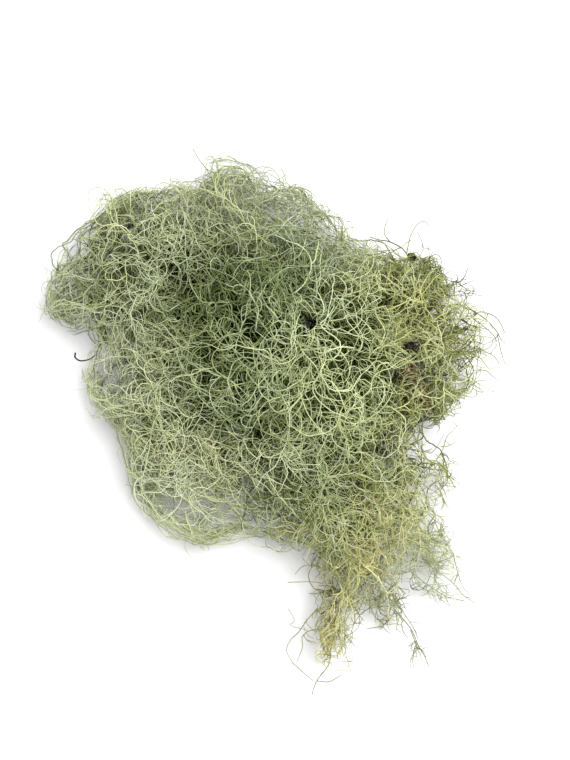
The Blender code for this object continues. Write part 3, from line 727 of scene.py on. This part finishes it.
# ---- Materials ----

def new_material(name):
    """A material with its nodes and links."""
    material = bpy.data.materials.new(name)
    material.use_nodes = True
    return material, material.node_tree.nodes, material.node_tree.links


WHITE = (1.0, 1.0, 1.0)


def add_ramp(nodes, stops):
    """A colour ramp with the given places and colours."""
    ramp = nodes.new("ShaderNodeValToRGB")
    elements = ramp.color_ramp.elements
    while len(elements) < len(stops):
        elements.new(0.5)
    for element, (place, colour) in zip(elements, stops):
        element.position = place
        element.color = (*colour, 1.0)
    return ramp


def add_mix(nodes, links, first, second, blend="MULTIPLY"):
    """The blend of two colours."""
    mix = nodes.new("ShaderNodeMix")
    mix.data_type = "RGBA"
    mix.blend_type = blend
    mix.inputs["Factor"].default_value = 1.0
    links.new(first, mix.inputs["A"])
    links.new(second, mix.inputs["B"])
    return mix.outputs["Result"]


def add_noise(nodes, links, where, scale, detail=3.0):
    """Noise over the given coordinates."""
    pattern = nodes.new("ShaderNodeTexNoise")
    pattern.inputs["Scale"].default_value = scale
    pattern.inputs["Detail"].default_value = detail
    links.new(where, pattern.inputs["Vector"])
    return pattern.outputs["Fac"]


def finish_surface(nodes, links, colour, grain, rough, bump):
    """Link colour, roughness (least, most) and bump (strength, distance) to the shader."""
    shader = nodes["Principled BSDF"]
    links.new(colour, shader.inputs["Base Color"])
    polish = nodes.new("ShaderNodeMapRange")
    polish.inputs["To Min"].default_value, polish.inputs["To Max"].default_value = rough
    links.new(grain, polish.inputs["Value"])
    links.new(polish.outputs["Result"], shader.inputs["Roughness"])
    relief = nodes.new("ShaderNodeBump")
    relief.inputs["Strength"].default_value, relief.inputs["Distance"].default_value = bump
    links.new(grain, relief.inputs["Height"])
    links.new(relief.outputs["Normal"], shader.inputs["Normal"])
    shader.inputs["Specular IOR Level"].default_value = 0.03


def lichen_material(name, deep, usual, pale):
    """Waxy matte filament: deep to pale with tint, which also holds painted shade and light; yellow,
    grey, then dull tips with hue.
    """
    material, nodes, links = new_material(name)
    tint, hue = nodes.new("ShaderNodeAttribute"), nodes.new("ShaderNodeAttribute")
    tint.attribute_name, hue.attribute_name = "tint", "hue"
    body = add_ramp(nodes, ((0.0, deep), (0.5, usual), (1.0, pale)))
    links.new(tint.outputs["Fac"], body.inputs["Fac"])
    cast = add_ramp(nodes, ((0.0, (1.06, 1.0, 0.78)), (0.35, WHITE),
                            (0.7, (0.95, 0.99, 1.08)), (1.0, (0.55, 0.52, 0.52))))
    links.new(hue.outputs["Fac"], cast.inputs["Fac"])
    where = nodes.new("ShaderNodeCombineXYZ")
    links.new(tint.outputs["Fac"], where.inputs["X"])
    links.new(hue.outputs["Fac"], where.inputs["Y"])
    grain = add_noise(nodes, links, where.outputs["Vector"], scale=30.0)
    mottle = add_ramp(nodes, ((0.3, (0.88, 0.86, 0.80)), (0.5, WHITE), (0.7, (1.08, 1.09, 1.12))))
    links.new(grain, mottle.inputs["Fac"])
    colour = add_mix(nodes, links, body.outputs["Color"], cast.outputs["Color"])
    colour = add_mix(nodes, links, colour, mottle.outputs["Color"])
    finish_surface(nodes, links, colour, grain, rough=(0.55, 0.9), bump=(0.2, 0.00005))
    return material


def bark_material():
    """Reddish-brown flaky bark with pale specks."""
    material, nodes, links = new_material("bark")
    place = nodes.new("ShaderNodeTexCoord").outputs["Object"]
    grain = add_noise(nodes, links, place, scale=1300.0, detail=6.0)
    broad = add_noise(nodes, links, place, scale=220.0, detail=4.0)
    flakes = add_ramp(nodes, ((0.34, (0.030, 0.023, 0.009)), (0.46, (0.14, 0.105, 0.045)),
                              (0.56, (0.25, 0.19, 0.10)), (0.66, (0.66, 0.52, 0.40))))
    links.new(grain, flakes.inputs["Fac"])
    tone = add_ramp(nodes, ((0.35, (0.55, 0.5, 0.45)), (0.6, WHITE)))
    links.new(broad, tone.inputs["Fac"])
    colour = add_mix(nodes, links, flakes.outputs["Color"], tone.outputs["Color"])
    finish_surface(nodes, links, colour, grain, rough=(0.6, 0.95), bump=(0.8, 0.0004))
    return material


def holdfast_material(name):
    """Blackened, knobbly holdfast."""
    material, nodes, links = new_material(name)
    place = nodes.new("ShaderNodeTexCoord").outputs["Object"]
    grain = add_noise(nodes, links, place, scale=900.0, detail=5.0)
    tone = add_ramp(nodes, ((0.3, (0.008, 0.008, 0.006)), (0.55, (0.03, 0.026, 0.018)),
                            (0.75, (0.09, 0.075, 0.05))))
    links.new(grain, tone.inputs["Fac"])
    finish_surface(nodes, links, tone.outputs["Color"], grain, rough=(0.5, 0.9),
                   bump=(0.7, 0.0003))
    return material


# ---- The thalli ----

def values_along(ground, plan, chain, tint, hue):
    """Tint and hue at each point: painted shade deep inside and round gaps, painted light on top,
    dark and pale patches, a darker rim band and dull tips.
    """
    # painted shade: filaments darken with depth under the clump's top and behind its rim
    deep = 1 - np.exp(-ground.depth(chain) / DEEP)
    rim = np.exp(-np.maximum(ground.read(ground.inside, chain), 0) / RIM_BAND)
    # painted shade round the deep gaps
    gap = np.clip(0.8 - ground.read(ground.clear, chain), 0, 1) * (deep > 0.6)
    # painted light on top and painted shade deep inside and round gaps; a darker band at the rim
    tints = (tint[:, None] + TOP_LIGHT - plan["shade"] * deep - plan["rim_shade"] * rim
             - GAP_SHADE * gap)
    # dark and pale patches: partly own tone, partly painted shade and painted light
    tints += patches(chain, SHADES) * (PATCH_ON_TOP + (1 - PATCH_ON_TOP) * deep)
    hues = np.clip(hue[:, None] + patches(chain, HUES), 0, HUE_LIMIT)
    along = np.linspace(0, 1, chain.shape[1])
    tip = np.clip((along - TIP_STARTS) / (1 - TIP_STARTS), 0, 1) ** 1.5
    return tints, hues + (1 - hues) * tip


def grown(rng, ground, plan, roots, headings, lengths, steps, curl, layer, widths, tint, hue):
    """Walk filaments, end them at the rim, thin them out; keep their numbers together."""
    chain = walk(rng, ground, roots, headings, lengths, steps, curl, layer, plan)
    chain, long_enough = end_at_rim(rng, ground, chain, plan["stray"])
    kept = long_enough & keep_some(rng, chain)
    return {"chain": chain[kept], "radii": taper(steps, widths[kept]), "layer": layer[kept],
            "tint": tint[kept], "hue": hue[kept]}


def bed_places(rng, ground, index, plan, count):
    """Where main filaments start: in the thallus's beds, or all over it."""
    if "beds" in plan:
        beds = np.array(plan["beds"], float)
        beds = beds[rng.choice(len(beds), count, p=beds[:, 2] ** 2 / np.sum(beds[:, 2] ** 2))]
        angle, reach = rng.uniform(0, math.tau, count), beds[:, 2] * np.sqrt(rng.random(count))
        return beds[:, :2] + np.stack([np.cos(angle), np.sin(angle)], axis=1) * reach[:, None]
    cells = np.argwhere((ground.owner == index) & (ground.inside > 0.5))
    picked = cells[rng.integers(0, len(cells), count)] + rng.uniform(-0.5, 0.5, (count, 2))
    return ground.low + picked * GRID


def main_filaments(rng, ground, index, plan, count, detail, low, high):
    """Long filaments all through a thallus, between two shares of its height."""
    roots = np.zeros((count, 3))
    roots[:, :2] = bed_places(rng, ground, index, plan, count)
    layer = low + (high - low) * rng.beta(1.5, 1.0, count)
    roots[:, 2] = layer * ground.read(ground.height, roots)
    headings = rng.normal(0, 1, (count, 3)) * (1, 1, 0.25)
    lengths = rng.uniform(*plan["length"], count)
    curl = plan["curl"] * rng.uniform(0.5, 1.5, count)
    widths = plan["width"] * detail["thickness"] * rng.uniform(0.8, 1.15, count)
    tint = rng.normal(plan["tone"], plan["mixed"], count)
    hue = rng.uniform(0.12, 0.65, count)
    return grown(rng, ground, plan, roots, headings, lengths, detail["steps"][0], curl, layer,
                 widths, tint, hue)


def feature_filaments(rng, ground, plan, name):
    """The single strands that stand out on a thallus, laid along its top."""
    chains, widths = [], []
    for width, lift, route in STRANDS.get(name, ()):
        flat = smooth_route(route, FEATURE_STEPS)
        height = ground.read(ground.height, flat) + lift
        height += np.cumsum(rng.normal(0, 0.05, len(flat)))
        chains.append(np.column_stack([flat, np.maximum(height, FLOOR_GAP)]))
        widths.append(FEATURE_WIDTH * width)
    count = len(chains)
    return {"chain": np.array(chains), "radii": taper(FEATURE_STEPS, np.array(widths), last=0.6),
            "layer": np.full(count, FEATURE_LAYER), "tint": rng.normal(plan["laid"], 0.06, count),
            "hue": rng.uniform(0.15, 0.6, count)}


def side_filaments(rng, ground, plan, parent, number, lengths, steps, bend, least, spread):
    """Branches or shoots that fork off the filaments of a parent group."""
    weight = np.clip(parent["layer"], 0.2, 1) ** 1.5
    parents = rng.choice(len(parent["chain"]), number, p=weight / weight.sum())
    roots, headings, width = fork(rng, parent["chain"], parent["radii"], parents,
                                  rng.uniform(0.04, 0.97, number), spread)
    curl = plan["curl"] * bend * rng.uniform(0.5, 1.7, number)
    layer = np.clip(parent["layer"][parents] + rng.normal(0, 0.08, number), 0.03, 1.1)
    widths = np.maximum(width * rng.uniform(0.7, 0.95, number), least)
    tint = parent["tint"][parents] + rng.normal(0, 0.09, number)
    hue = np.clip(parent["hue"][parents] + rng.normal(0, 0.08, number), 0, HUE_LIMIT)
    return grown(rng, ground, plan, roots, headings, rng.uniform(*lengths, number), steps, curl,
                 layer, widths, tint, hue)


def family(rng, ground, plan, mains, detail, sprouts):
    """Main filaments with their branches and shoots, as groups of tubes."""
    number = int(len(mains["chain"]) * plan["forks"])
    branches = side_filaments(rng, ground, plan, mains, number, plan["branch"],
                              detail["steps"][1], bend=1.3, least=LEAST_BRANCH,
                              spread=plan["spread"])
    kin = [mains, branches]
    if sprouts:
        number = int(len(branches["chain"]) * sprouts)
        kin.append(side_filaments(rng, ground, plan, branches, number, plan["shoot"],
                                  detail["steps"][2], bend=1.7, least=LEAST_SHOOT,
                                  spread=plan["spread"] + 0.1))
    groups = []
    for part in kin:
        values = values_along(ground, plan, part["chain"], part["tint"], part["hue"])
        groups.append(tubes(part["chain"], part["radii"], *values))
    return groups


def grow_thallus(ground, index, name, plan):
    """All the filaments of a thallus, as one mesh."""
    rng = np.random.default_rng(SEED * 1000 + index)
    mains = main_filaments(rng, ground, index, plan, plan["mains"], FINE, low=0.5, high=1.06)
    groups = family(rng, ground, plan, mains, FINE, plan["sprouts"])
    if name in STRANDS:
        laid = feature_filaments(rng, ground, plan, name)
        number, lengths = FRINGES.get(name, (FEATURE_FORKS, plan["branch"]))
        fringed = dict(plan, forks=number, branch=lengths)
        groups += family(rng, ground, fringed, laid, FINE, FEATURE_SPROUTS)
    if plan["fill"]:
        deep = main_filaments(rng, ground, index, plan, plan["fill"], COARSE, low=0.03, high=0.6)
        groups += family(rng, ground, dict(plan, forks=DEEP_FORKS), deep, COARSE, sprouts=0)
    return mesh_from(name + "_filaments", groups)


# ---- The twig and the holdfasts ----

def roughened(item, name, cuts, lump, height):
    """A finer copy of a frame solid, with lumps of a given width and height."""
    net = bmesh.new()
    net.from_mesh(item.data)
    net.transform(item.matrix_world)
    bmesh.ops.remove_doubles(net, verts=net.verts, dist=0.00001)
    bmesh.ops.subdivide_edges(net, edges=net.edges, cuts=cuts, use_grid_fill=True)
    for _ in range(2):
        bmesh.ops.smooth_vert(net, verts=net.verts, factor=0.5,
                              use_axis_x=True, use_axis_y=True, use_axis_z=True)
    net.normal_update()
    for vertex in net.verts:
        spot = vertex.co / (lump * MM)
        swell = noise.noise(spot) + 0.5 * noise.noise(spot * 2.7) + 0.25 * noise.noise(spot * 6.1)
        vertex.co += vertex.normal * (swell * height * MM)
    mesh = bpy.data.meshes.new(name)
    net.to_mesh(mesh)
    net.free()
    mesh.shade_smooth()
    return add_object(name, mesh)


def settle(piece, material, node):
    """Give a piece its material and its place in the frame."""
    piece.data.materials.append(material)
    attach(piece, "root")
    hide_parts(node)


def add_flakes(piece, number, beyond):
    """Loose flakes of bark lifted off a piece's surface past a place in y, added to its mesh."""
    rng = np.random.default_rng(SEED)
    net = bmesh.new()
    net.from_mesh(piece.data)
    sources = [vertex for vertex in net.verts if vertex.co.y > beyond * MM]
    sites = rng.choice(len(sources), number, replace=False)
    spots = [(sources[site].co.copy(), sources[site].normal.copy()) for site in sites]
    for spot, normal in spots:
        lean = unit(np.array(normal) + rng.normal(0, 0.45, 3))
        across = unit(np.cross(lean, rng.normal(0, 1, 3)))
        along = np.cross(lean, across)
        middle = np.array(spot) + np.array(normal) * rng.uniform(0.05, 1.2) * MM
        corners = rng.integers(5, 8)
        angles = np.sort(rng.uniform(0, math.tau, corners))
        reach = rng.uniform(0.25, 1.0, corners)[:, None] * rng.uniform(0.3, 0.9) * MM
        spokes = across * np.cos(angles)[:, None] * 0.6 + along * np.sin(angles)[:, None]
        edge = middle + spokes * reach
        top = [net.verts.new(point) for point in edge + lean * 0.06 * MM]
        low = [net.verts.new(point) for point in edge - lean * 0.06 * MM]
        net.faces.new(top)
        net.faces.new(low[::-1])
        for a, b in zip(range(corners), [*range(1, corners), 0]):
            net.faces.new((top[a], low[a], low[b], top[b]))
    net.to_mesh(piece.data)
    net.free()


def black_strand():
    """The stray blackened strand."""
    radius, route = BLACK_STRAND
    chain = smooth_route(route, FEATURE_STEPS)[None]
    level = np.full((1, FEATURE_STEPS + 1), 0.5)
    radii = taper(FEATURE_STEPS, np.array([radius]))
    return mesh_from("black_strand", [tubes(chain, radii, level, level, sides=8)])


ground = Ground(frame["nodes"], GROWTH)
for index, (name, plan) in enumerate(GROWTH.items()):
    piece = grow_thallus(ground, index, name, plan)
    settle(piece, lichen_material(name + "_skin", *PAINTS[plan["paint"]]), name)
twig = roughened(frame["nodes"]["twig"], "twig_bark", cuts=4, lump=1.4, height=0.28)
add_flakes(twig, FLAKES, FLAKES_BEYOND)
settle(twig, bark_material(), "twig")
for name in ("holdfast_on_twig", "holdfast_loose"):
    knob = roughened(frame["nodes"][name], name + "_knobs", cuts=3, lump=0.9, height=0.25)
    knob.location.z += KNOB_LIFT * MM
    settle(knob, holdfast_material(name + "_skin"), name)
strand = black_strand()
strand.data.materials.append(holdfast_material("black_strand_skin"))
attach(strand, "root")


# ---- Floor, light and camera ----

PAPER = (0.72, 0.72, 0.72, 1)  # the floor's colour
PAPER_REACH = 2.5  # how far it runs from the middle, in metres
SKY_STRENGTH = 1.1
LAMP_SIZE = 0.6
LAMP_POWER = 12.0
LAMP_PLACE = (0.42, 0.36, 0.85)
CAMERA_PLACE = (0.00155, 0.01203, 0.279)


def make_floor():
    """A wide sheet of white paper."""
    mesh = bpy.data.meshes.new("floor")
    sides = ((-1, -1), (1, -1), (1, 1), (-1, 1))
    corners = [(a * PAPER_REACH, b * PAPER_REACH, 0) for a, b in sides]
    mesh.from_pydata(corners, [], [(0, 1, 2, 3)])
    floor = add_object("floor", mesh)
    material, nodes, _ = new_material("floor_paper")
    shader = nodes["Principled BSDF"]
    shader.inputs["Base Color"].default_value = PAPER
    shader.inputs["Roughness"].default_value = 0.9
    mesh.materials.append(material)


def make_light():
    """Soft light from all round, and a broad lamp high on the right."""
    world = bpy.data.worlds.new("studio")
    world.use_nodes = True
    background = world.node_tree.nodes["Background"]
    background.inputs["Color"].default_value = (1, 1, 1, 1)
    background.inputs["Strength"].default_value = SKY_STRENGTH
    bpy.context.scene.world = world
    lamp = bpy.data.lights.new("key", "AREA")
    lamp.shape = "DISK"
    lamp.size = LAMP_SIZE
    lamp.energy = LAMP_POWER
    key = add_object("key", lamp)
    key.location = LAMP_PLACE
    key.rotation_euler = (-key.location).to_track_quat("-Z", "Y").to_euler()


def make_camera():
    """Looking straight down on the clump."""
    data = bpy.data.cameras.new("camera")
    data.lens = 50
    camera = add_object("camera", data)
    camera.location = CAMERA_PLACE
    bpy.context.scene.camera = camera
    bpy.context.scene.view_settings.view_transform = "Standard"


make_floor()
make_light()
make_camera()
